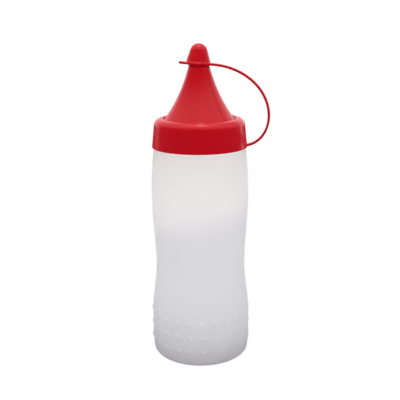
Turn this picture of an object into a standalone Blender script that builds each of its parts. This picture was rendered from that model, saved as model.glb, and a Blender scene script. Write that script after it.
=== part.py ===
"""Squeeze bottle: a blown, waisted bottle of soft plastic and its nozzle cap.

The cap is one moulding: a collar that covers the bottle's neck, a hollow pouring nozzle,
and a strap that carries a thimble-shaped cover back over the nozzle's tip.
Metres, +Z up. The strap loops out towards +X, so the bottle's axis stands a little to the
-X side of the origin, which is the middle of the floor that the whole thing covers.
"""

import math

import bmesh
import bpy
from mathutils import Matrix, Vector

MM = 0.001
SIDES = 48                       # flat sides round the bottle and the collar
COVER_SIDES = 28                 # flat sides round the small tip cover

# Bottle: radii are of the outside, heights are above the base
BOTTLE_WALL = 1.0 * MM
PUSH_UP_R = 19.0 * MM            # the base is domed inwards inside this radius
PUSH_UP_H = 3.0 * MM
HEEL_W = 8.0 * MM                # the heel is a quarter of an ellipse this wide
HEEL_H = 4.0 * MM
DRAW_Z = 13.4 * MM               # below this the side draws in towards the heel
DRAW_IN = 1.5 * MM               # by this at the base
BULGE_R = 31.45 * MM             # widest, over the grip dots
BULGE_Z = 28.0 * MM              # top of the straight lower bulge
WAIST_R = 28.5 * MM
WAIST_Z = 61.0 * MM
CHEST_R = 30.55 * MM             # widest of the upper bulge
CHEST_Z = 107.0 * MM
CROWN_RADIUS = 245.0 * MM        # long curve that draws the chest in towards the shoulder
SHOULDER_ROUND = 1.6 * MM
SHOULDER_Z = 137.2 * MM          # flat ledge under the collar
NECK_R = 25.9 * MM
NECK_WALL = 1.2 * MM
NECK_Z = 152.6 * MM              # open mouth

# Grip dots on the lower bulge
DOT_ROWS_Z = (11.7 * MM, 21.1 * MM, 30.7 * MM)
DOTS_ROUND = 24
DOT_R = 1.8 * MM
DOT_H = 0.55 * MM
DOT_SIDES = 8
DOT_RINGS = 4
DOT_TURN = math.radians(2.0)     # how far the foremost dot sits from straight ahead

# Collar of the cap
CAP_WALL = 1.3 * MM
SKIRT_Z = 137.5 * MM
SKIRT_R = 29.7 * MM
RIM_ROUND = 4.95 * MM            # rounding from the skirt up to the rim
RIM_R = 23.4 * MM                # crest of the rim
RIM_Z = 155.45 * MM
RIM_LIP = 0.9 * MM               # rounding from the crest down into the groove
GROOVE_Z = 154.1 * MM            # floor of the groove between the rim and the nozzle
GROOVE_R = 22.4 * MM
UNDER_RIM_START = 82.0           # degrees round the rim's hollow, just outside its crest

# Nozzle: its side is an arc that flares out below the cover's seat, and a straight taper above it
SEAT_Z = 187.2 * MM
SEAT_R = 6.35 * MM
NOZZLE_ARC = 96.0 * MM           # radius of the arc
NOZZLE_LEAN = math.radians(14.4) # the arc's lean from upright at the seat
TIP_SLOPE = 0.36                 # radius lost for each unit of height above the seat
NOZZLE_TIP_Z = 196.0 * MM
ORIFICE_R = 1.4 * MM
ORIFICE_LENGTH = 1.6 * MM

# Tip cover, in its own frame: origin in the middle of its flange, +Z along its axis
COVER_Z = 188.4 * MM
COVER_X = -0.46 * MM
COVER_TILT = math.radians(3.0)   # leans towards the strap
COVER_R = 7.75 * MM
COVER_TAPER = math.radians(18.7)
COVER_DOME = 5.45 * MM
COVER_WALL = 1.0 * MM
FLANGE_H = 1.45 * MM

# Strap and pull tab: one flat section carried along a line in the strap's plane
STRAP_TURN = math.radians(-8.0)  # plane of the strap, turned from +X towards -Y
STRAP_W = 3.6 * MM
STRAP_H = 1.45 * MM
STRAP_REACH = 42.8 * MM          # furthest from the bottle's axis
STRAP_REACH_Z = 156.8 * MM
STRAP_UPPER = (37.65 * MM, 31.15 * MM)   # half axes of the upper quarter ellipse
STRAP_LOWER = (14.75 * MM, 17.9 * MM)    # half axes of the lower one
STRAP_START_R = 6.9 * MM         # inside the flange
STRAP_END_R = 29.0 * MM          # inside the skirt
STRAP_STEPS = 13                 # for each quarter
FLARE_W = 1.4 * MM               # the strap widens by this where it leaves the moulding
FLARE_LENGTH = 2.5 * MM
TAB_END = 11.8 * MM
TAB_W = 4.6 * MM
TAB_END_W = 2.8 * MM             # the tab narrows to this at its end
TAB_LIFT = 0.3 * MM              # the tab's end curls up by this

RED = (0.62, 0.008, 0.018, 1.0)
CLOUDY = (0.86, 0.86, 0.87, 1.0)
SHARP_EDGE = math.radians(35.0)  # edges that turn by more than this are shaded as edges
WELD = 0.01 * MM                 # points of a turned shape closer than this are one


def clear_scene():
    for old in list(bpy.data.objects):
        bpy.data.objects.remove(old, do_unlink=True)


def plastic(name, colour, roughness, transmission):
    material = bpy.data.materials.new(name)
    material.use_nodes = True
    shader = material.node_tree.nodes["Principled BSDF"]
    shader.inputs["Base Color"].default_value = colour
    shader.inputs["Roughness"].default_value = roughness
    shader.inputs["Metallic"].default_value = 0.0
    shader.inputs["Transmission Weight"].default_value = transmission
    return material


def steps(first, last, count):
    """count + 1 even values from first to last."""
    return [first + (last - first) * i / count for i in range(count + 1)]


def arc(centre_r, centre_z, radius, start, end, count):
    """Points (r, z) on a circle, from one angle in degrees to another."""
    return [
        (
            centre_r + radius * math.cos(math.radians(a)),
            centre_z + radius * math.sin(math.radians(a)),
        )
        for a in steps(start, end, count)
    ]


def ease(z, z_from, r_from, z_to, r_to):
    """Half a cosine wave between two radii, level at both ends."""
    t = (z - z_from) / (z_to - z_from)
    return r_from + (r_to - r_from) * (1.0 - math.cos(math.pi * t)) / 2.0


def side_radius(z):
    """Outside radius of the bottle's side: draw-in over the heel, bulge, waist, chest and crown."""
    if z <= DRAW_Z:
        return BULGE_R - DRAW_IN * ((DRAW_Z - z) / DRAW_Z) ** 2
    if z <= BULGE_Z:
        return BULGE_R
    if z <= WAIST_Z:
        return ease(z, BULGE_Z, BULGE_R, WAIST_Z, WAIST_R)
    if z <= CHEST_Z:
        return ease(z, WAIST_Z, WAIST_R, CHEST_Z, CHEST_R)
    return CHEST_R - (z - CHEST_Z) ** 2 / (2.0 * CROWN_RADIUS)


def side(inset, low, high, counts):
    """The side's outline from low to high, moved in by inset."""
    marks = (low, DRAW_Z, BULGE_Z, WAIST_Z, CHEST_Z, high)
    heights = [low]
    for start, end, count in zip(marks, marks[1:], counts):
        heights += steps(start, end, count)[1:]
    return [(side_radius(z) - inset, z) for z in heights]


def heel(inset, count):
    """The heel's outline from the base up to the side, moved in by inset."""
    outline = []
    for a in steps(-math.pi / 2.0, 0.0, count):
        z = HEEL_H + (HEEL_H - inset) * math.sin(a)
        outline.append((side_radius(z) - HEEL_W + (HEEL_W - inset) * math.cos(a), z))
    return outline


def base_dome(lift, edge_r, count):
    """The base's push-up, from the axis out to edge_r."""
    sphere = (PUSH_UP_R**2 + PUSH_UP_H**2) / (2.0 * PUSH_UP_H)
    low = PUSH_UP_H - sphere + lift
    return [(r, low + math.sqrt(sphere**2 - r**2)) for r in steps(0.0, edge_r, count)]


def bottle_outline():
    """Outside from the axis up to the mouth, then the inside back down to the axis."""
    shoulder_low = SHOULDER_Z - SHOULDER_ROUND
    shoulder_r = side_radius(shoulder_low) - SHOULDER_ROUND
    neck_in = NECK_R - NECK_WALL
    outside = base_dome(0.0, PUSH_UP_R, 3)
    outside += heel(0.0, 6)
    outside += side(0.0, HEEL_H, shoulder_low, (2, 1, 6, 7, 3))[1:]
    outside += arc(shoulder_r, shoulder_low, SHOULDER_ROUND, 0, 90, 3)[1:]
    outside += [(NECK_R, SHOULDER_Z), (NECK_R, NECK_Z)]
    inside = base_dome(BOTTLE_WALL, PUSH_UP_R, 2)
    inside += heel(BOTTLE_WALL, 4)
    inside += side(BOTTLE_WALL, HEEL_H, shoulder_low, (1, 1, 4, 4, 2))[1:]
    inside += arc(shoulder_r, shoulder_low, SHOULDER_ROUND - BOTTLE_WALL, 0, 90, 2)[1:]
    inside += [(neck_in, SHOULDER_Z - BOTTLE_WALL), (neck_in, NECK_Z)]
    return outside + inside[::-1]


def nozzle_radius(z):
    """Outside radius of the nozzle: a taper above the seat, an arc below it."""
    below = SEAT_Z - z
    if below < 0.0:
        return SEAT_R + TIP_SLOPE * below
    sine = math.sin(NOZZLE_LEAN) + below / NOZZLE_ARC
    return SEAT_R + NOZZLE_ARC * (math.cos(NOZZLE_LEAN) - math.sqrt(1.0 - sine**2))


def collar_outline():
    """Closed outline of the collar and the nozzle: outside going up, inside coming down."""
    rim_centre_z = RIM_Z - RIM_ROUND
    lip_centre_z = RIM_Z - RIM_LIP
    ceiling_z = GROOVE_Z - CAP_WALL
    bore_z = NOZZLE_TIP_Z - ORIFICE_LENGTH
    outside = [(SKIRT_R, SKIRT_Z)]
    outside += arc(RIM_R, rim_centre_z, RIM_ROUND, 0, 90, 5)
    outside += arc(RIM_R, lip_centre_z, RIM_LIP, 90, 180, 3)[1:]
    outside += [(GROOVE_R, GROOVE_Z)]
    nozzle = steps(GROOVE_Z, SEAT_Z, 6) + [NOZZLE_TIP_Z]
    bore = [bore_z] + steps(SEAT_Z, ceiling_z, 4)
    outside += [(nozzle_radius(z), z) for z in nozzle]
    inside = [(ORIFICE_R, NOZZLE_TIP_Z), (ORIFICE_R, bore_z)]
    inside += [(nozzle_radius(z) - CAP_WALL, z) for z in bore]
    under_rim = arc(RIM_R, rim_centre_z, RIM_ROUND - CAP_WALL, UNDER_RIM_START, 0, 4)
    inside += [(under_rim[0][0], ceiling_z)] + under_rim
    inside += [(SKIRT_R - CAP_WALL, SKIRT_Z)]
    return outside + inside


def cover_outline():
    """Outside of the tip cover from its apex down to the flange, then the inside back up."""
    half = FLANGE_H / 2.0
    taper = math.degrees(COVER_TAPER)
    run = (COVER_R - COVER_DOME * math.cos(COVER_TAPER)) / math.tan(COVER_TAPER)
    dome_z = half + run - COVER_DOME * math.sin(COVER_TAPER)
    outside = arc(0.0, dome_z, COVER_DOME, 90, taper, 6)
    outside += [(COVER_R, half), (COVER_R, -half)]
    inside = [(COVER_R - COVER_WALL, -half)]
    inside += arc(0.0, dome_z, COVER_DOME - COVER_WALL, taper, 90, 4)
    return outside + inside


def add_object(name, mesh_data, material):
    mesh = bpy.data.meshes.new(name)
    mesh_data.to_mesh(mesh)
    mesh_data.free()
    mesh.materials.append(material)
    thing = bpy.data.objects.new(name, mesh)
    bpy.context.scene.collection.objects.link(thing)
    return thing


def turned(name, outline, closed, sides, material):
    """Spins an outline round the Z axis. An open one starts and ends on the axis."""
    shape = bmesh.new()
    points = [shape.verts.new((r, 0.0, z)) for r, z in outline]
    pairs = list(zip(points, points[1:]))
    if closed:
        pairs.append((points[-1], points[0]))
    edges = [shape.edges.new(pair) for pair in pairs]
    bmesh.ops.spin(
        shape, geom=points + edges, cent=(0, 0, 0), axis=(0, 0, 1), angle=math.tau, steps=sides
    )
    bmesh.ops.remove_doubles(shape, verts=shape.verts, dist=WELD)
    bmesh.ops.recalc_face_normals(shape, faces=shape.faces)
    return add_object(name, shape, material)


def flat_bar(name, line, widths, thickness, material):
    """Carries a flat section with broken corners along a line of (x, z) points."""
    shape = bmesh.new()
    corner = thickness / 4.0
    rings = []
    for i, (x, z) in enumerate(line):
        along = Vector(line[min(i + 1, len(line) - 1)]) - Vector(line[max(i - 1, 0)])
        across = Vector((-along.y, 0.0, along.x)).normalized()
        half_w = widths[i] / 2.0
        half_h = thickness / 2.0
        section = [
            (half_w, corner - half_h), (half_w, half_h - corner),
            (half_w - corner, half_h), (corner - half_w, half_h),
            (-half_w, half_h - corner), (-half_w, corner - half_h),
            (corner - half_w, -half_h), (half_w - corner, -half_h),
        ]
        rings.append([shape.verts.new((x + across.x * h, w, z + across.z * h)) for w, h in section])
    for ring, following in zip(rings, rings[1:]):
        for a in range(len(ring)):
            b = (a + 1) % len(ring)
            shape.faces.new((ring[a], ring[b], following[b], following[a]))
    shape.faces.new(rings[0])
    shape.faces.new(rings[-1])
    bmesh.ops.recalc_face_normals(shape, faces=shape.faces)
    return add_object(name, shape, material)


def quarter(half_axes, start, end):
    """Part of an ellipse whose outermost point is the strap's reach."""
    wide, tall = half_axes
    centre_x = STRAP_REACH - wide
    return [
        (centre_x + wide * math.cos(a), STRAP_REACH_Z + tall * math.sin(a))
        for a in steps(start, end, STRAP_STEPS)
    ]


def strap_line():
    upper_x = STRAP_REACH - STRAP_UPPER[0]
    lower_x = STRAP_REACH - STRAP_LOWER[0]
    start = math.acos((STRAP_START_R - upper_x) / STRAP_UPPER[0])
    end = -math.acos((STRAP_END_R - lower_x) / STRAP_LOWER[0])
    return quarter(STRAP_UPPER, start, 0.0) + quarter(STRAP_LOWER, 0.0, end)[1:]


def strap_widths(line):
    """The strap's width at each point: wider near both roots."""
    lengths = [0.0]
    for a, b in zip(line, line[1:]):
        lengths.append(lengths[-1] + math.dist(a, b))
    whole = lengths[-1]
    return [
        STRAP_W + FLARE_W * (math.exp(-s / FLARE_LENGTH) + math.exp((s - whole) / FLARE_LENGTH))
        for s in lengths
    ]


def strap(material):
    line = strap_line()
    return flat_bar("strap", line, strap_widths(line), STRAP_H, material)


def pull_tab(material):
    """A short tongue on the flange, opposite the strap, with its end curled up."""
    shares = steps(0.0, 1.0, 4)
    length = TAB_END - STRAP_START_R
    line = [(-STRAP_START_R - length * t, TAB_LIFT * t**4) for t in shares]
    widths = [TAB_W - (TAB_W - TAB_END_W) * t**3 for t in shares]
    tab = flat_bar("pull_tab", line, widths, FLANGE_H, material)
    tab.matrix_world = cover_place()
    return tab


def cover_place():
    """Where the tip cover's own frame sits, in the strap's plane."""
    return Matrix.Translation((COVER_X, 0.0, COVER_Z)) @ Matrix.Rotation(COVER_TILT, 4, "Y")


def tip_cover(material):
    cover = turned("tip_cover", cover_outline(), False, COVER_SIDES, material)
    cover.matrix_world = cover_place()
    return cover


def grip_dot(z, angle, material):
    """A low round dot, sunk to its middle in the bottle's side."""
    shape = bmesh.new()
    bmesh.ops.create_uvsphere(shape, u_segments=DOT_SIDES, v_segments=DOT_RINGS, radius=DOT_R)
    bmesh.ops.scale(shape, vec=(1.0, 1.0, DOT_H / DOT_R), verts=shape.verts)
    dot = add_object("grip_dot", shape, material)
    outward = Vector((math.sin(angle), -math.cos(angle), 0.0))
    turn = outward.to_track_quat("Z", "Y").to_matrix().to_4x4()
    dot.matrix_world = Matrix.Translation(outward * side_radius(z) + Vector((0.0, 0.0, z))) @ turn
    return dot


def join(thing, additions):
    """Makes the thing and the additions one closed body, then removes the additions."""
    group = bpy.data.collections.new(thing.name + "_additions")
    for piece in additions:
        group.objects.link(piece)
    union = thing.modifiers.new("union", "BOOLEAN")
    union.operation = "UNION"
    union.operand_type = "COLLECTION"
    union.collection = group
    union.solver = "EXACT"
    evaluated = thing.evaluated_get(bpy.context.evaluated_depsgraph_get())
    joined = bpy.data.meshes.new_from_object(evaluated)
    thing.modifiers.clear()
    thing.data = joined
    for piece in additions:
        bpy.data.objects.remove(piece, do_unlink=True)
    bpy.data.collections.remove(group)


def shade(thing):
    thing.data.shade_smooth()
    thing.data.set_sharp_from_angle(angle=SHARP_EDGE)


def bottle():
    cloudy = plastic("cloudy_plastic", CLOUDY, roughness=0.4, transmission=0.5)
    body = turned("bottle", bottle_outline(), False, SIDES, cloudy)
    turns = [DOT_TURN + math.tau * i / DOTS_ROUND for i in range(DOTS_ROUND)]
    join(body, [grip_dot(z, turn, cloudy) for z in DOT_ROWS_Z for turn in turns])
    shade(body)
    return body


def nozzle_cap():
    red = plastic("red_plastic", RED, roughness=0.3, transmission=0.0)
    cap = turned("nozzle_cap", collar_outline(), True, SIDES, red)
    join(cap, [tip_cover(red), strap(red), pull_tab(red)])
    cap.rotation_euler.z = STRAP_TURN
    shade(cap)
    return cap


def stand(pieces):
    """Puts the pieces on the bottle's axis, so that the whole is centred over the origin."""
    strap_edge = (STRAP_REACH + STRAP_H / 2.0) * math.cos(STRAP_TURN)
    strap_edge += STRAP_W / 2.0 * abs(math.sin(STRAP_TURN))
    axis = bpy.data.objects.new("bottle_axis", None)
    bpy.context.scene.collection.objects.link(axis)
    axis.location.x = (BULGE_R + DOT_H - strap_edge) / 2.0
    for piece in pieces:
        piece.parent = axis


def main():
    clear_scene()
    stand([bottle(), nozzle_cap()])


main()
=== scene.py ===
import math

import bpy
import numpy as np
from mathutils import Matrix, Vector


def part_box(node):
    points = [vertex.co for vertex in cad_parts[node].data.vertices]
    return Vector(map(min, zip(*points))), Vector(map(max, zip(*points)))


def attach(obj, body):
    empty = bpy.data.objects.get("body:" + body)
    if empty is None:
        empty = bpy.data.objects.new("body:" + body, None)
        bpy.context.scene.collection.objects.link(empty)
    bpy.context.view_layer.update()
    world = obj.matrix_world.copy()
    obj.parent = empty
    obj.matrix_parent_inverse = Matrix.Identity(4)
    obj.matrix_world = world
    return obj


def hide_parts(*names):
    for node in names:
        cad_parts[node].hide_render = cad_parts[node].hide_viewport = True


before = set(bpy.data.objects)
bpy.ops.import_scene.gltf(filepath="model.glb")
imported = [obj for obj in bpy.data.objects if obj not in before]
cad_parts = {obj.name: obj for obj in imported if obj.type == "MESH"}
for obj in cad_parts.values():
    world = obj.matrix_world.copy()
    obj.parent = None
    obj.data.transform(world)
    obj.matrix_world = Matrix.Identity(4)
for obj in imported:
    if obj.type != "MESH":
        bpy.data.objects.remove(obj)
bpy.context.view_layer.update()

mm = 0.001
whole = math.tau
right = 90.0                                 # a right angle in degrees
far = 1.0                                    # a point this far off only gives an edge its direction
bottleLow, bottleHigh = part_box("bottle")
axisX = (bottleLow.x + bottleHigh.x) / 2     # the bottle's own axis stands a little to -X
strapTurn = math.radians(-8.0)               # the strap's plane, turned from +X towards -Y


# Points (r, z) on a circle: centre + radius * (cos a, sin a), a even from start to end in degrees.
def arc(centre, radius, start, end, count):
    a = np.radians(np.linspace(start, end, count))
    return np.stack([centre[0] + radius * np.cos(a), centre[1] + radius * np.sin(a)], axis=1)


# Half a cosine wave between two values, level at both ends.
def ease(z, zFrom, rFrom, zTo, rTo):
    t = np.clip((z - zFrom) / (zTo - zFrom), 0, 1)
    return rFrom + (rTo - rFrom) * (1 - np.cos(np.pi * t)) / 2


# Rounds one corner of an outline: the arc of that radius which touches both straight runs.
def corner(before, at, after, radius, count=6):
    before, at, after = (np.array(p, float) for p in (before, at, after))
    inward = (before - at) / np.linalg.norm(before - at)
    outward = (after - at) / np.linalg.norm(after - at)
    half = math.acos(float(np.clip(inward @ outward, -1, 1))) / 2
    middle = inward + outward
    centre = at + middle / np.linalg.norm(middle) * radius / math.sin(half)
    start = at + inward * radius / math.tan(half) - centre
    end = at + outward * radius / math.tan(half) - centre
    first = math.atan2(start[1], start[0])
    sweep = (math.atan2(end[1], end[0]) - first + math.pi) % whole - math.pi
    return arc(centre, radius, math.degrees(first), math.degrees(first + sweep), count)


# A closed mesh from a grid of points: each row is a ring, and neighbouring rows are bridged by quads.
# An endless grid also bridges its last row to its first; any other has a fan over each end.
def skin(name, grid, endless):
    rows, sides = grid.shape[:2]
    index = np.arange(rows * sides).reshape(rows, sides)
    if endless:
        index = np.vstack([index, index[:1]])
    following = np.roll(index, -1, axis=1)
    quads = np.stack([index[:-1], following[:-1], following[1:], index[1:]], axis=-1).reshape(-1, 4)
    points = grid.reshape(-1, 3)
    fans = np.zeros((0, 3), int)
    if not endless:
        poles = np.full((2, sides), rows * sides) + [[0], [1]]
        points = np.vstack([points, grid[0].mean(axis=0), grid[-1].mean(axis=0)])
        first = np.stack([following[0], index[0], poles[0]], axis=1)
        last = np.stack([index[-1], following[-1], poles[1]], axis=1)
        fans = np.vstack([first, last])
    mesh = bpy.data.meshes.new(name)
    mesh.vertices.add(len(points))
    mesh.vertices.foreach_set("co", points.astype(np.float32).ravel())
    mesh.loops.add(quads.size + fans.size)
    mesh.loops.foreach_set("vertex_index", np.concatenate([quads.ravel(), fans.ravel()]).astype(np.int32))
    counts = np.concatenate([np.full(len(quads), 4), np.full(len(fans), 3)])
    mesh.polygons.add(len(counts))
    mesh.polygons.foreach_set("loop_start", (np.cumsum(counts) - counts).astype(np.int32))
    mesh.update(calc_edges=True)
    mesh.validate()
    mesh.shade_smooth()
    piece = bpy.data.objects.new(name, mesh)
    bpy.context.scene.collection.objects.link(piece)
    return piece


# Makes every face point out: flips them all where the enclosed volume comes out negative.
def faceOut(piece):
    mesh = piece.data
    mesh.calc_loop_triangles()
    co = np.empty(len(mesh.vertices) * 3)
    mesh.vertices.foreach_get("co", co)
    tri = np.empty(len(mesh.loop_triangles) * 3, int)
    mesh.loop_triangles.foreach_get("vertices", tri)
    a, b, c = co.reshape(-1, 3)[tri.reshape(-1, 3)].transpose(1, 0, 2)
    if (np.cross(a, b) * c).sum() < 0:
        mesh.flip_normals()
    return piece


# Moves points by a 4 x 4 matrix: turn times point plus shift.
def moved(points, matrix):
    m = np.array(matrix)
    return points @ m[:3, :3].T + m[:3, 3]


# A turned surface: each outline point (r, z) becomes the ring (r cos a, r sin a, z).
def turnedGrid(outline, angles):
    r, z = outline[:, 0, None], outline[:, 1, None]
    return np.stack([r * np.cos(angles), r * np.sin(angles), z + 0 * angles], axis=-1)


# Even angles round the whole turn.
def evenTurn(count):
    return np.arange(count) * whole / count


bottleSizes = {
    "wall": 1.0 * mm,
    "pushUpR": 19.0 * mm, "pushUpH": 3.0 * mm,        # domed base
    "poleR": 0.4 * mm, "ringRound": 0.5 * mm,         # middle of the dome; softened edge of the dome
    "heelW": 8.0 * mm, "heelH": 4.0 * mm,
    "drawZ": 13.4 * mm, "drawIn": 1.5 * mm,
    "bulgeR": 31.45 * mm, "bulgeZ": 28.0 * mm,
    "waistR": 28.5 * mm, "waistZ": 61.0 * mm,
    "chestR": 30.55 * mm, "chestZ": 107.0 * mm,
    "crownRadius": 245.0 * mm,
    "shoulderRound": 1.6 * mm, "shoulderZ": 137.2 * mm,
    "neckR": 25.9 * mm, "neckWall": 1.2 * mm, "neckZ": 152.6 * mm,
    "neckFoot": 0.3 * mm, "mouthRound": 0.4 * mm,
    # Mesh rows of each run, outside and then inside.
    "baseRows": 10, "heelRows": 22, "lowRows": 16, "sideRows": 58, "shoulderRows": 8,
    "innerBaseRows": 8, "innerHeelRows": 12, "innerRows": 36, "innerShoulderRows": 5,
}

dotSizes = {
    "rows": (11.7 * mm, 21.1 * mm, 30.7 * mm), "round": 24, "turn": math.radians(2.0),
    "r": 1.8 * mm, "h": 0.55 * mm,
    "margin": 1.25, "meshRows": 64,          # the finer mesh reaches this many radii past the outer rows
    "sides": 14, "packing": 0.62,            # mesh columns for each dot, and how far they crowd over it
}


# Outside radius by height: a draw-in that grows with the square of the depth below its start, a straight
# bulge, half cosine waves to the waist and to the chest, then a parabola.
def sideRadius(z):
    s = bottleSizes
    drawIn = s["drawIn"] * (np.clip(s["drawZ"] - z, 0, None) / s["drawZ"]) ** 2
    waist = ease(z, s["bulgeZ"], s["bulgeR"], s["waistZ"], s["waistR"]) - drawIn
    chest = ease(z, s["waistZ"], s["waistR"], s["chestZ"], s["chestR"])
    crown = s["chestR"] - (z - s["chestZ"]) ** 2 / (2 * s["crownRadius"])
    return np.where(z <= s["waistZ"], waist, np.where(z <= s["chestZ"], chest, crown))


# Base push-up: a cap of a sphere through its edge and its middle, lifted by the wall for the inside.
def pushUp(lift, count):
    s = bottleSizes
    sphere = (s["pushUpR"] ** 2 + s["pushUpH"] ** 2) / (2 * s["pushUpH"])
    r = np.linspace(s["poleR"], s["pushUpR"] - s["ringRound"], count)
    return np.stack([r, s["pushUpH"] - sphere + lift + np.sqrt(sphere ** 2 - r ** 2)], axis=1)


# Heel: a quarter ellipse under the side's own radius at each height, moved in by the inset.
def heel(inset, count):
    s = bottleSizes
    a = np.radians(np.linspace(-right, 0, count))
    z = s["heelH"] + (s["heelH"] - inset) * np.sin(a)
    return np.stack([sideRadius(z) - s["heelW"] + (s["heelW"] - inset) * np.cos(a), z], axis=1)


# The whole section of the bottle: push-up, heel, side, shoulder and neck, then the same back down inside.
def bottleOutline():
    s, d = bottleSizes, dotSizes
    wall = s["wall"]
    lowZ = s["shoulderZ"] - s["shoulderRound"]
    shoulderR = float(sideRadius(lowZ)) - s["shoulderRound"]
    neckIn = s["neckR"] - s["neckWall"]
    dotFoot = d["rows"][0] - d["margin"] * d["r"]
    dotTop = d["rows"][-1] + d["margin"] * d["r"]
    dotZ = np.linspace(dotFoot, dotTop, d["meshRows"])
    sideZ = np.concatenate([
        np.linspace(s["heelH"], dotFoot, s["lowRows"])[1:-1],
        dotZ,
        np.linspace(dotTop, lowZ, s["sideRows"])[1:],
    ])
    neckFoot = (s["neckR"], s["shoulderZ"])
    outside = [
        pushUp(0, s["baseRows"]),
        np.array([[s["pushUpR"] + s["ringRound"], 0]]),
        heel(0, s["heelRows"]),
        np.stack([sideRadius(sideZ), sideZ], axis=1),
        arc((shoulderR, lowZ), s["shoulderRound"], 0, right, s["shoulderRows"])[1:],
        corner((far, s["shoulderZ"]), neckFoot, (s["neckR"], far), s["neckFoot"]),
        corner((s["neckR"], 0), (s["neckR"], s["neckZ"]), (0, s["neckZ"]), s["mouthRound"]),
    ]
    inZ = np.linspace(s["heelH"], lowZ, s["innerRows"])
    inside = [
        pushUp(wall, s["innerBaseRows"]),
        heel(wall, s["innerHeelRows"]),
        np.stack([sideRadius(inZ) - wall, inZ], axis=1)[1:],
        arc((shoulderR, lowZ), s["shoulderRound"] - wall, 0, right, s["innerShoulderRows"])[1:],
        np.array([[neckIn, s["shoulderZ"] - wall]]),
        corner((neckIn, 0), (neckIn, s["neckZ"]), (far, s["neckZ"]), s["mouthRound"]),
    ]
    outside, inside = np.vstack(outside), np.vstack(inside)
    return np.vstack([outside, inside[::-1]]), len(outside)


# Angles round the bottle: even steps less a sine wave, so that they crowd over each column of dots.
def bottleAngles():
    d = dotSizes
    pitch = whole / d["round"]
    even = np.arange(d["sides"]) / d["sides"] - 0.5
    packed = even * pitch - d["packing"] * pitch * np.sin(whole * even) / whole
    columns = d["turn"] - math.pi / 2 + pitch * np.arange(d["round"])
    return (columns[:, None] + packed).ravel(), np.tile(packed, d["round"])


# Grip dots are low mounds: height * (1 - (distance / radius)^2) pushed out along the radius.
def dotRelief(angleFromDot, z):
    d = dotSizes
    along = angleFromDot * bottleSizes["bulgeR"]
    relief = np.zeros((len(z), len(along)))
    for rowZ in d["rows"]:
        near = (along ** 2 + ((z - rowZ) ** 2)[:, None]) / d["r"] ** 2
        relief = np.maximum(relief, d["h"] * np.clip(1 - near, 0, None))
    return relief


markSizes = {
    "angle": math.radians(11.5 - right), "z": 5.4 * mm,    # just off the front, above the heel
    "halfLength": 3.4 * mm, "halfHeight": 0.45 * mm, "h": 0.28 * mm,
    "endPower": 8, "edgePower": 4,             # the higher the power, the squarer the bell
}


# Mould mark: one short bar, the product of two flat-topped bell curves, along the turn and up the side.
def markRelief(angles, z):
    m = markSizes
    along = (angles - m["angle"] + math.pi) % whole - math.pi
    lengthwise = np.exp(-(along * bottleSizes["bulgeR"] / m["halfLength"]) ** m["endPower"])
    upright = np.exp(-((z - m["z"]) / m["halfHeight"]) ** m["edgePower"])
    return m["h"] * upright[:, None] * lengthwise


# The bottle is its outline turned round the axis, with the dots and the mark raised on the outside.
def makeBottle():
    outline, outsideCount = bottleOutline()
    angles, fromDot = bottleAngles()
    grid = turnedGrid(outline, angles)
    z = outline[:outsideCount, 1]
    relief = dotRelief(fromDot, z) + markRelief(angles, z)
    relief *= (outline[:outsideCount, 0] > bottleSizes["neckR"])[:, None]
    grid[:outsideCount, :, 0] += relief * np.cos(angles)
    grid[:outsideCount, :, 1] += relief * np.sin(angles)
    grid[..., 0] += axisX
    return faceOut(skin("bottleShell", grid, endless=False))


collarSizes = {
    "wall": 1.3 * mm,
    "skirtZ": 137.5 * mm, "skirtR": 29.7 * mm, "edgeRound": 0.25 * mm,
    "rimRound": 4.95 * mm, "rimR": 23.4 * mm, "rimZ": 155.45 * mm, "rimLip": 0.9 * mm,
    "grooveZ": 154.1 * mm, "grooveR": 22.4 * mm, "grooveRound": 0.2 * mm,
    "underRim": 82.0,                         # the rim's hollow starts here, in degrees round its circle
    "seatZ": 187.2 * mm, "seatR": 6.35 * mm, "arc": 96.0 * mm, "lean": math.radians(14.4),
    "tipSlope": 0.36, "tipZ": 196.0 * mm, "tipRound": 0.4 * mm,
    "orificeR": 1.4 * mm, "orificeLength": 1.6 * mm, "orificeRound": 0.2 * mm,
    "skirtStart": 0.08,                       # share of the skirt's side taken up by its rounded foot
    "skirtRows": 8, "rimRows": 26, "lipRows": 12, "nozzleRows": 64, "boreRows": 32, "underRimRows": 10,
    "sides": 288,
}


# Nozzle radius: a circular arc that flares out below the cover's seat, a straight taper above it.
def nozzleRadius(z):
    s = collarSizes
    below = s["seatZ"] - z
    sine = math.sin(s["lean"]) + np.clip(below, 0, None) / s["arc"]
    flared = s["arc"] * (math.cos(s["lean"]) - np.sqrt(1 - sine ** 2))
    return s["seatR"] + flared + s["tipSlope"] * np.clip(below, None, 0)


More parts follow.
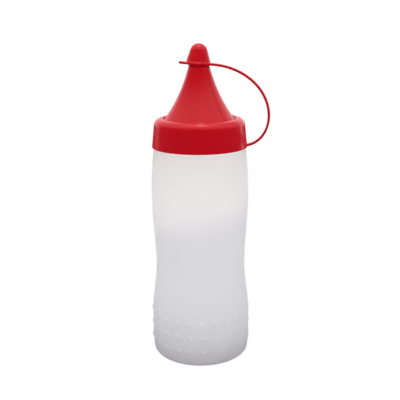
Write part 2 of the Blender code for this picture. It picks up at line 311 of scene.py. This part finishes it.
# The collar's whole section: skirt, rim, groove and nozzle going up, bore and hollow coming back down.
# The skirt's side leaves the rim's rounding where a line from its foot touches that circle.
def collarOutline():
    s = collarSizes
    rimCentre = np.array([s["rimR"], s["rimZ"] - s["rimRound"]])
    lipCentre = (s["rimR"], s["rimZ"] - s["rimLip"])
    ceilingZ = s["grooveZ"] - s["wall"]
    boreZ = s["tipZ"] - s["orificeLength"]
    foot = np.array([s["skirtR"], s["skirtZ"]])
    footIn = foot - [s["wall"], 0]
    toFoot = foot - rimCentre
    touch = math.degrees(math.atan2(toFoot[1], toFoot[0]) + math.acos(s["rimRound"] / np.linalg.norm(toFoot)))
    rim = arc(rimCentre, s["rimRound"], touch, right, s["rimRows"])
    skirtTop = rim[0]
    skirt = foot + (skirtTop - foot) * np.linspace(s["skirtStart"], 1, s["skirtRows"])[:-1, None]
    lip = (s["rimR"] - s["rimLip"], lipCentre[1])
    groove = (s["grooveR"], s["grooveZ"])
    nozzleFoot = (float(nozzleRadius(s["grooveZ"])), s["grooveZ"])
    upZ = np.linspace(s["grooveZ"] + s["grooveRound"], s["tipZ"] - s["tipRound"], s["nozzleRows"])
    nozzle = np.stack([nozzleRadius(upZ), upZ], axis=1)
    tip = (float(nozzleRadius(s["tipZ"])), s["tipZ"])
    orifice = (s["orificeR"], s["tipZ"])
    downZ = np.linspace(boreZ, ceilingZ, s["boreRows"])
    return np.vstack([
        corner(footIn, foot, skirtTop, s["edgeRound"]),
        skirt,
        rim,
        arc(lipCentre, s["rimLip"], right, 2 * right, s["lipRows"])[1:],
        corner(lip, groove, nozzleFoot, s["grooveRound"]),
        corner(groove, nozzleFoot, nozzle[1], s["grooveRound"]),
        nozzle[1:],
        corner(nozzle[-1], tip, orifice, s["tipRound"]),
        corner(tip, orifice, (s["orificeR"], boreZ), s["orificeRound"]),
        np.array([[s["orificeR"], boreZ]]),
        np.stack([nozzleRadius(downZ) - s["wall"], downZ], axis=1),
        arc(rimCentre, s["rimRound"] - s["wall"], s["underRim"], touch, s["underRimRows"]),
        corner(skirtTop - [s["wall"], 0], footIn, foot, s["edgeRound"]),
    ])


# The collar is its outline turned round the bottle's axis.
def makeCollar():
    grid = turnedGrid(collarOutline(), evenTurn(collarSizes["sides"]))
    grid[..., 0] += axisX
    return faceOut(skin("capCollar", grid, endless=True))


coverSizes = {
    "x": -0.46 * mm, "z": 188.39 * mm, "tilt": math.radians(3.0),
    "r": 7.75 * mm, "taper": math.radians(18.7), "dome": 5.45 * mm, "wall": 1.0 * mm,
    "flangeH": 1.45 * mm, "ledge": 0.2 * mm, "topRound": 0.2 * mm, "footRound": 0.12 * mm,
    "footWall": 1.2 * mm,                     # the cover fits closely round the nozzle at its foot
    "ledgeRise": 0.25,                        # the taper ends this share of the ledge above the flange
    "domeRows": 30, "taperRows": 12, "innerDomeRows": 16,
    "poleGap": 2.0, "sides": 144,             # degrees left open at the apex, closed by a fan
}

capPlace = Matrix.Translation((axisX, 0, 0)) @ Matrix.Rotation(strapTurn, 4, "Z")
coverPlace = (
    capPlace
    @ Matrix.Translation((coverSizes["x"], 0, coverSizes["z"]))
    @ Matrix.Rotation(coverSizes["tilt"], 4, "Y")
)


# Section of the tip cover: a dome that touches a taper, a flange with a rounded ledge, and the inside.
def coverOutline():
    s = coverSizes
    half = s["flangeH"] / 2
    taper = math.degrees(s["taper"])
    sine, cosine = math.sin(s["taper"]), math.cos(s["taper"])
    domeZ = half + (s["r"] - s["dome"] * cosine) / math.tan(s["taper"]) - s["dome"] * sine
    inR = s["dome"] - s["wall"]
    shoulder = np.array([s["dome"] * cosine, domeZ + s["dome"] * sine])
    ledge = np.array([s["r"] - s["ledge"], half + s["ledge"] * s["ledgeRise"]])
    edge, foot = (s["r"], half), (s["r"], -half)
    footIn = (s["r"] - s["footWall"], -half)
    return np.vstack([
        arc((0, domeZ), s["dome"], right - s["poleGap"], taper, s["domeRows"]),
        shoulder + (ledge - shoulder) * np.linspace(0, 1, s["taperRows"])[1:, None],
        corner(ledge, edge, foot, s["topRound"]),
        corner(edge, foot, footIn, s["footRound"]),
        np.array([footIn]),
        arc((0, domeZ), inR, taper, right - s["poleGap"], s["innerDomeRows"]),
    ])


# The tip cover is its outline turned, then placed in the strap's plane with its lean.
def makeCover():
    grid = moved(turnedGrid(coverOutline(), evenTurn(coverSizes["sides"])), coverPlace)
    return faceOut(skin("capTipCover", grid, endless=False))


strapSizes = {
    "w": 3.6 * mm, "h": 1.45 * mm, "round": 0.4 * mm,
    "reach": 42.8 * mm, "reachZ": 156.8 * mm,
    "upper": (37.65 * mm, 31.15 * mm), "lower": (14.75 * mm, 17.9 * mm),   # half axes
    "startR": 6.9 * mm, "endR": 29.0 * mm, "steps": 110,
    "flareW": 1.4 * mm, "flareLength": 2.5 * mm,
}

tabSizes = {
    "end": 11.8 * mm, "w": 4.6 * mm, "endW": 2.8 * mm, "lift": 0.3 * mm, "steps": 32,
    "tipShare": 0.06, "tipH": 0.35, "tipW": 1.2 * mm,    # the last share of the length is rounded off
    "tipLeast": 0.02, "roundMost": 0.45,      # what stays of the tip, squared; most rounding for its height
}


# A rounded flat section (across, up): a quarter circle at each corner of a box of that width and height.
def flatSection(width, height, rounding, count=5):
    a = np.radians(np.concatenate([np.linspace(q, q + right, count) for q in right * np.arange(4)]))
    sideSign = np.repeat([1, -1, -1, 1], count)
    upSign = np.repeat([1, 1, -1, -1], count)
    across = sideSign * (width[:, None] / 2 - rounding[:, None]) + rounding[:, None] * np.cos(a)
    up = upSign * (height[:, None] / 2 - rounding[:, None]) + rounding[:, None] * np.sin(a)
    return across, up


# Carries the section along a line in the strap's plane; "up" is square to the line.
def bar(line, width, height, rounding):
    along = np.gradient(line, axis=0)
    along /= np.linalg.norm(along, axis=1)[:, None]
    across, up = flatSection(width, height, rounding)
    x = line[:, 0, None] - along[:, 1, None] * up
    z = line[:, 1, None] + along[:, 0, None] * up
    return np.stack([x, across, z], axis=-1)


# Part of an ellipse whose outermost point is the strap's reach: its middle + half axes * (cos a, sin a).
def quarter(halfAxes, start, end):
    s = strapSizes
    wide, tall = halfAxes
    a = np.linspace(start, end, s["steps"])
    return np.stack([s["reach"] - wide + wide * np.cos(a), s["reachZ"] + tall * np.sin(a)], axis=1)


# Strap line: a quarter of one ellipse from the cover out to the reach, then one of another back in.
def strapLine():
    s = strapSizes
    upperMiddle, lowerMiddle = s["reach"] - s["upper"][0], s["reach"] - s["lower"][0]
    start = math.acos((s["startR"] - upperMiddle) / s["upper"][0])
    end = -math.acos((s["endR"] - lowerMiddle) / s["lower"][0])
    return np.vstack([quarter(s["upper"], start, 0), quarter(s["lower"], 0, end)[1:]])


# Strap width: its own, plus a flare that dies away exponentially from each root.
def makeStrap():
    s = strapSizes
    line = strapLine()
    length = np.concatenate([[0], np.cumsum(np.linalg.norm(np.diff(line, axis=0), axis=1))])
    flare = np.exp(-length / s["flareLength"]) + np.exp((length - length[-1]) / s["flareLength"])
    width = s["w"] + s["flareW"] * flare
    same = np.ones(len(line))
    grid = moved(bar(line, width, s["h"] * same, s["round"] * same), capPlace)
    return faceOut(skin("capStrap", grid, endless=False))


# Pull tab: its width falls with the cube of the share of its length, its lift grows with the fourth power,
# and a quarter ellipse rounds off the last share.
def makeTab():
    s = tabSizes
    t = np.linspace(0, 1, s["steps"])
    reach = strapSizes["startR"] + (s["end"] - strapSizes["startR"]) * t
    line = np.stack([-reach, s["lift"] * t ** 4], axis=1)
    closing = np.clip((t - 1 + s["tipShare"]) / s["tipShare"], 0, 1)
    full = np.sqrt(np.clip(1 - closing ** 2, s["tipLeast"], None))
    width = s["w"] - (s["w"] - s["endW"]) * t ** 3 - s["tipW"] * (1 - full)
    height = coverSizes["flangeH"] * (s["tipH"] + (1 - s["tipH"]) * full)
    rounding = np.minimum(strapSizes["round"], s["roundMost"] * height)
    grid = moved(bar(line, width, height, rounding), coverPlace)
    return faceOut(skin("capPullTab", grid, endless=False))


# A material with its nodes, links, shader and output.
def newMaterial(name):
    material = bpy.data.materials.new(name)
    material.use_nodes = True
    nodes, links = material.node_tree.nodes, material.node_tree.links
    return material, nodes, links, nodes["Principled BSDF"], nodes["Material Output"]


# Noise on Object coordinates: scale in waves a metre, stretched by the Mapping node's scale.
def noise(nodes, links, scale, detail, stretch=(1, 1, 1)):
    coords = nodes.new("ShaderNodeTexCoord")
    mapping = nodes.new("ShaderNodeMapping")
    mapping.inputs["Scale"].default_value = stretch
    texture = nodes.new("ShaderNodeTexNoise")
    texture.inputs["Scale"].default_value = scale
    texture.inputs["Detail"].default_value = detail
    links.new(coords.outputs["Object"], mapping.inputs["Vector"])
    links.new(mapping.outputs["Vector"], texture.inputs["Vector"])
    return texture.outputs["Fac"]


# A value that goes from low to high, in a smooth step, as the source goes over the span.
def between(nodes, links, source, span, low, high):
    ramp = nodes.new("ShaderNodeMapRange")
    ramp.interpolation_type = "SMOOTHSTEP"
    ramp.inputs["From Min"].default_value, ramp.inputs["From Max"].default_value = span
    ramp.inputs["To Min"].default_value, ramp.inputs["To Max"].default_value = low, high
    links.new(source, ramp.inputs["Value"])
    return ramp.outputs["Result"]


# One colour or the other by a factor; either may be a plain colour or another node's output.
def blendColours(nodes, links, factor, first, second):
    mix = nodes.new("ShaderNodeMix")
    mix.data_type = "RGBA"
    if isinstance(first, tuple):
        mix.inputs["A"].default_value = first
    else:
        links.new(first, mix.inputs["A"])
    mix.inputs["B"].default_value = second
    links.new(factor, mix.inputs["Factor"])
    return mix.outputs["Result"]


# A fine unevenness of the surface: noise as the height of a bump.
def fineBump(nodes, links, shaders, look):
    bump = nodes.new("ShaderNodeBump")
    bump.inputs["Strength"].default_value = look["bump"]
    bump.inputs["Distance"].default_value = look["bumpDepth"]
    links.new(noise(nodes, links, look["bumpScale"], look["bumpDetail"]), bump.inputs["Height"])
    for shader in shaders:
        links.new(bump.outputs["Normal"], shader.inputs["Normal"])


# Height above a plane through the base that rises by the slant along X, from Object coordinates.
def heightAbove(nodes, links, slant):
    coords = nodes.new("ShaderNodeTexCoord")
    product = nodes.new("ShaderNodeVectorMath")
    product.operation = "DOT_PRODUCT"
    product.inputs[1].default_value = (-slant, 0, 1)
    links.new(coords.outputs["Object"], product.inputs[0])
    return product.outputs["Value"]


cloudyLook = {
    "colour": (0.984, 0.978, 0.979, 1), "denser": (0.979, 0.973, 0.974, 1), "patchSpan": (0.2, 0.8),
    # Painted shade: the body gets darker below the chest, across a line that slants along X, and darker again
    # towards the heel, there partly for the thicker wall and partly painted shade near the floor.
    "middle": (0.918, 0.918, 0.927, 1), "middleSpan": (84.0 * mm, 104.0 * mm), "middleSlant": 0.2,
    "thickWallAndShade": (0.832, 0.823, 0.842, 1), "thickWallAndShadeSpan": (0.0, 23.0 * mm),
    "patchScale": 28, "patchDetail": 3, "patchStretch": (1, 1, 0.5),
    "roughness": (0.36, 0.46), "ior": 1.5,
    "sentThrough": 0.85, "seenThrough": 0.2,   # light scattered on through it, and light only blurred
    "bumpScale": 420, "bumpDetail": 4, "bump": 0.03, "bumpDepth": 0.2 * mm,
}


# Cloudy wall: part of the light turns back at each face, part is scattered on through it, and a little goes
# through with only a blur. Its colour carries painted shade: darker below the chest, and darker again towards
# the base, there partly for the thicker wall.
def cloudyPlastic():
    look = cloudyLook
    material, nodes, links, shader, output = newMaterial("cloudyPolyethylene")
    patches = noise(nodes, links, look["patchScale"], look["patchDetail"], look["patchStretch"])
    patchy = between(nodes, links, patches, look["patchSpan"], 0, 1)
    colour = blendColours(nodes, links, patchy, look["colour"], look["denser"])
    # Painted shade by height: darker below the chest, then darker at the base, partly for the thicker wall.
    for name, slant in (("middle", look["middleSlant"]), ("thickWallAndShade", 0)):
        height = heightAbove(nodes, links, slant)
        below = between(nodes, links, height, look[name + "Span"], 1, 0)
        colour = blendColours(nodes, links, below, colour, look[name])
    roughness = between(nodes, links, patches, look["patchSpan"], *look["roughness"])
    links.new(colour, shader.inputs["Base Color"])
    links.new(roughness, shader.inputs["Roughness"])
    shader.inputs["Transmission Weight"].default_value = look["seenThrough"]
    shader.inputs["IOR"].default_value = look["ior"]
    through = nodes.new("ShaderNodeBsdfTranslucent")
    links.new(colour, through.inputs["Color"])
    fineBump(nodes, links, (shader, through), look)
    mix = nodes.new("ShaderNodeMixShader")
    mix.inputs["Fac"].default_value = look["sentThrough"]
    links.new(shader.outputs["BSDF"], mix.inputs[1])
    links.new(through.outputs["BSDF"], mix.inputs[2])
    links.new(mix.outputs["Shader"], output.inputs["Surface"])
    return material


redLook = {
    "colour": (0.33, 0.0007, 0.0050, 1), "paler": (0.34, 0.0010, 0.0058, 1), "patchSpan": (0.2, 0.8),
    "patchScale": 40, "patchDetail": 2, "roughness": (0.21, 0.25), "ior": 1.5,
    "glow": 1.0, "glowRadius": (1.0, 0.2, 0.25), "glowDepth": 0.8 * mm,
    "edgeSheen": 0.4, "edgeSpread": 0.5, "edgeTint": (1, 0.02, 0.06, 1),
    "bumpScale": 500, "bumpDetail": 4, "bump": 0.02, "bumpDepth": 0.1 * mm,
}


# Glossy red moulding: the colour is scattered a little under the surface, under a clear gloss, and a red
# sheen along the edges is a painted glow standing in for light that leaves it slantwise.
def redPlastic():
    look = redLook
    material, nodes, links, shader, output = newMaterial("redPolyethylene")
    patches = noise(nodes, links, look["patchScale"], look["patchDetail"])
    patchy = between(nodes, links, patches, look["patchSpan"], 0, 1)
    colour = blendColours(nodes, links, patchy, look["colour"], look["paler"])
    roughness = between(nodes, links, patches, look["patchSpan"], *look["roughness"])
    links.new(colour, shader.inputs["Base Color"])
    links.new(roughness, shader.inputs["Roughness"])
    shader.inputs["IOR"].default_value = look["ior"]
    shader.inputs["Subsurface Weight"].default_value = look["glow"]
    shader.inputs["Subsurface Radius"].default_value = look["glowRadius"]
    shader.inputs["Subsurface Scale"].default_value = look["glowDepth"]
    # Painted edge glow: a red sheen at grazing angles.
    shader.inputs["Sheen Weight"].default_value = look["edgeSheen"]
    shader.inputs["Sheen Roughness"].default_value = look["edgeSpread"]
    shader.inputs["Sheen Tint"].default_value = look["edgeTint"]
    fineBump(nodes, links, (shader,), look)
    return material


studio = {
    "floorSize": 6.0, "floorGrey": (0.04, 0.04, 0.04, 1),
    "white": 1.0, "behind": 1.5,               # what the lens sees, and what glows through the cloudy wall
    "skyLow": 2.1, "skyHigh": 1.35, "skySpan": (-0.1, 1.0),   # soft light near the horizon and overhead
    # What gloss sees: a dim room, a bright ceiling, a brighter patch overhead and a pale backdrop.
    "room": 0.07,
    "ceiling": 0.7, "ceilingSpan": (0.32, 0.58), "ceilingLean": (0.06, 0.3),
    "zenith": 1.3, "zenithSpan": (0.8, 0.97),
    "backdrop": 1.0, "backdropSpan": (-0.12, 0.0), "backdropFace": (0.45, 0.85),
}

cameraSizes = {
    "lens": 63.0, "sensor": 36.0,             # 700 pixels of focal length in a frame of 400
    "back": 432.0 * mm, "height": 215.0 * mm,
    "pitch": math.radians(14.56), "roll": math.radians(-0.42), "near": 0.01, "far": 50.0,
}


# The camera stands in front of the bottle's axis, turned down by its pitch and round its view by its roll.
def makeCamera():
    s = cameraSizes
    data = bpy.data.cameras.new("camera")
    data.lens = s["lens"]
    data.sensor_width = s["sensor"]
    data.clip_start, data.clip_end = s["near"], s["far"]
    camera = bpy.data.objects.new("camera", data)
    bpy.context.scene.collection.objects.link(camera)
    tilt = Matrix.Rotation(math.pi / 2 - s["pitch"], 4, "X")
    roll = Matrix.Rotation(s["roll"], 4, "Z")
    camera.matrix_world = Matrix.Translation((axisX, -s["back"], s["height"])) @ tilt @ roll
    bpy.context.scene.camera = camera


# The floor shows plain white to the lens, and is a dark grey that throws little light back at the bottle.
def makeFloor():
    material = bpy.data.materials.new("floorWhite")
    material.use_nodes = True
    nodes, links = material.node_tree.nodes, material.node_tree.links
    nodes.clear()
    output = nodes.new("ShaderNodeOutputMaterial")
    mix = nodes.new("ShaderNodeMixShader")
    path = nodes.new("ShaderNodeLightPath")
    grey = nodes.new("ShaderNodeBsdfDiffuse")
    grey.inputs["Color"].default_value = studio["floorGrey"]
    glow = nodes.new("ShaderNodeEmission")
    glow.inputs["Strength"].default_value = studio["white"]
    links.new(path.outputs["Is Camera Ray"], mix.inputs["Fac"])
    links.new(grey.outputs["BSDF"], mix.inputs[1])
    links.new(glow.outputs["Emission"], mix.inputs[2])
    links.new(mix.outputs["Shader"], output.inputs["Surface"])
    mesh = bpy.data.meshes.new("floor")
    half = studio["floorSize"] / 2
    corners = [(-half, -half, 0), (half, -half, 0), (half, half, 0), (-half, half, 0)]
    mesh.from_pydata(corners, [], [(0, 1, 2, 3)])
    mesh.materials.append(material)
    floor = bpy.data.objects.new("floor", mesh)
    bpy.context.scene.collection.objects.link(floor)


# One operation of two sockets or numbers.
def calculate(nodes, links, operation, first, second):
    node = nodes.new("ShaderNodeMath")
    node.operation = operation
    for socket, value in zip(node.inputs, (first, second)):
        if isinstance(value, float):
            socket.default_value = value
        else:
            links.new(value, socket)
    return node.outputs["Value"]


# What gloss sees in each direction: the brightest of a dim room, a ceiling whose edge comes lower towards
# the back and a little towards +X, a brighter patch overhead, and a backdrop behind the bottle.
def mirroredRoom(nodes, links):
    s = studio
    coords = nodes.new("ShaderNodeTexCoord")
    split = nodes.new("ShaderNodeSeparateXYZ")
    links.new(coords.outputs["Generated"], split.inputs["Vector"])
    x, y, z = (split.outputs[axis] for axis in "XYZ")
    leaning = z
    for side, lean in zip((x, y), s["ceilingLean"]):
        leaning = calculate(nodes, links, "ADD", leaning, calculate(nodes, links, "MULTIPLY", side, lean))
    ceiling = between(nodes, links, leaning, s["ceilingSpan"], s["room"], s["ceiling"])
    zenith = between(nodes, links, z, s["zenithSpan"], 0.0, s["zenith"])
    rising = between(nodes, links, z, s["backdropSpan"], 0.0, s["backdrop"])
    facing = between(nodes, links, y, s["backdropFace"], 0.0, 1.0)
    backdrop = calculate(nodes, links, "MULTIPLY", rising, facing)
    brightest = calculate(nodes, links, "MAXIMUM", ceiling, zenith)
    return calculate(nodes, links, "MAXIMUM", brightest, backdrop)


# Sky: plain white to the lens, a brighter white through the cloudy wall, the mirrored room in gloss, and for
# soft light a dome that dims in a smooth step from the horizon to overhead.
def makeSky():
    world = bpy.data.worlds.new("studioSky")
    bpy.context.scene.world = world
    world.use_nodes = True
    world.cycles.sampling_method = "NONE"
    nodes, links = world.node_tree.nodes, world.node_tree.links
    nodes.clear()
    output = nodes.new("ShaderNodeOutputWorld")
    path = nodes.new("ShaderNodeLightPath")
    camera, through = path.outputs["Is Camera Ray"], path.outputs["Is Transmission Ray"]
    seen = calculate(nodes, links, "MAXIMUM", camera, through)
    coords = nodes.new("ShaderNodeTexCoord")
    split = nodes.new("ShaderNodeSeparateXYZ")
    links.new(coords.outputs["Generated"], split.inputs["Vector"])
    behind = calculate(nodes, links, "MULTIPLY", through, studio["behind"])
    strengths = (
        calculate(nodes, links, "MAXIMUM", behind, studio["white"]),
        between(nodes, links, split.outputs["Z"], studio["skySpan"], studio["skyLow"], studio["skyHigh"]),
        mirroredRoom(nodes, links),
    )
    white, dome, room = (nodes.new("ShaderNodeBackground") for _ in strengths)
    for background, strength in zip((white, dome, room), strengths):
        background.inputs["Color"].default_value = (1, 1, 1, 1)
        links.new(strength, background.inputs["Strength"])
    lit, every = nodes.new("ShaderNodeMixShader"), nodes.new("ShaderNodeMixShader")
    links.new(path.outputs["Is Glossy Ray"], lit.inputs["Fac"])
    links.new(dome.outputs["Background"], lit.inputs[1])
    links.new(room.outputs["Background"], lit.inputs[2])
    links.new(seen, every.inputs["Fac"])
    links.new(lit.outputs["Shader"], every.inputs[1])
    links.new(white.outputs["Background"], every.inputs[2])
    links.new(every.outputs["Shader"], output.inputs["Surface"])


# A rectangular light that looks at a point. Its brightness is power / (pi * area).
def softBox(name, place, target, size, brightness, shines=True):
    data = bpy.data.lights.new(name, "AREA")
    data.shape = "RECTANGLE"
    data.size, data.size_y = size
    data.energy = brightness * math.pi * size[0] * size[1]
    light = bpy.data.objects.new(name, data)
    bpy.context.scene.collection.objects.link(light)
    place, target = Vector(place), Vector(target)
    turn = (target - place).to_track_quat("-Z", "Y").to_matrix().to_4x4()
    light.matrix_world = Matrix.Translation(place) @ turn
    light.visible_camera = False
    light.visible_glossy = shines


# A place at an angle round the bottle: 0 is towards the camera, positive is to the right.
def around(azimuth, distance, height):
    a = math.radians(azimuth)
    return (axisX + distance * math.sin(a), -distance * math.cos(a), height)


# Places in metres and turns in degrees, all from the bottle's axis; brightness is that of the light's face.
lightSizes = {
    "aimZ": 130 * mm,
    "topPlace": (0.05, 0.03, 1.0), "topSize": (0.08, 0.08), "topBright": 25.0,
    "fillOut": 0.5, "fillZ": 0.42, "fillTurn": 75.0,
    "frontSize": (0.6, 0.4), "frontBright": 2.6,
    "sideSize": (0.5, 0.4), "leftBright": 0.6, "rightBright": 0.8,
    "stripOut": 0.8, "stripZ": 0.18, "stripTurn": 125.0, "stripSize": (0.018, 0.36),
    "leftStripBright": 3.5, "rightStripBright": 9.0,
}


# A small light overhead, three fills at the front and sides that gloss doesn't show, and two thin strips
# behind that draw a line of light along each side of the collar.
def makeLights():
    s = lightSizes
    aim = (axisX, 0, s["aimZ"])
    x, y, z = s["topPlace"]
    softBox("topBox", (axisX + x, y, z), aim, s["topSize"], s["topBright"])
    for name, turn, size, bright in (
        ("frontFill", 0, s["frontSize"], s["frontBright"]),
        ("leftFill", -s["fillTurn"], s["sideSize"], s["leftBright"]),
        ("rightFill", s["fillTurn"], s["sideSize"], s["rightBright"]),
    ):
        softBox(name, around(turn, s["fillOut"], s["fillZ"]), aim, size, bright, shines=False)
    for name, turn, bright in (
        ("leftStrip", -s["stripTurn"], s["leftStripBright"]),
        ("rightStrip", s["stripTurn"], s["rightStripBright"]),
    ):
        softBox(name, around(turn, s["stripOut"], s["stripZ"]), aim, s["stripSize"], bright)


# Builds the bottle, the cap's four visible forms and the studio.
def main():
    cloudy, red = cloudyPlastic(), redPlastic()
    bottle = makeBottle()
    bottle.data.materials.append(cloudy)
    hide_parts("bottle")
    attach(bottle, "root")
    print("bottle made")
    for piece in (makeCollar(), makeCover(), makeStrap(), makeTab()):
        piece.data.materials.append(red)
        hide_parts("nozzle_cap")
        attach(piece, "root")
    print("nozzle cap made")
    makeCamera()
    makeFloor()
    makeSky()
    makeLights()
    bpy.context.scene.view_settings.view_transform = "Standard"
    print("studio made")


main()
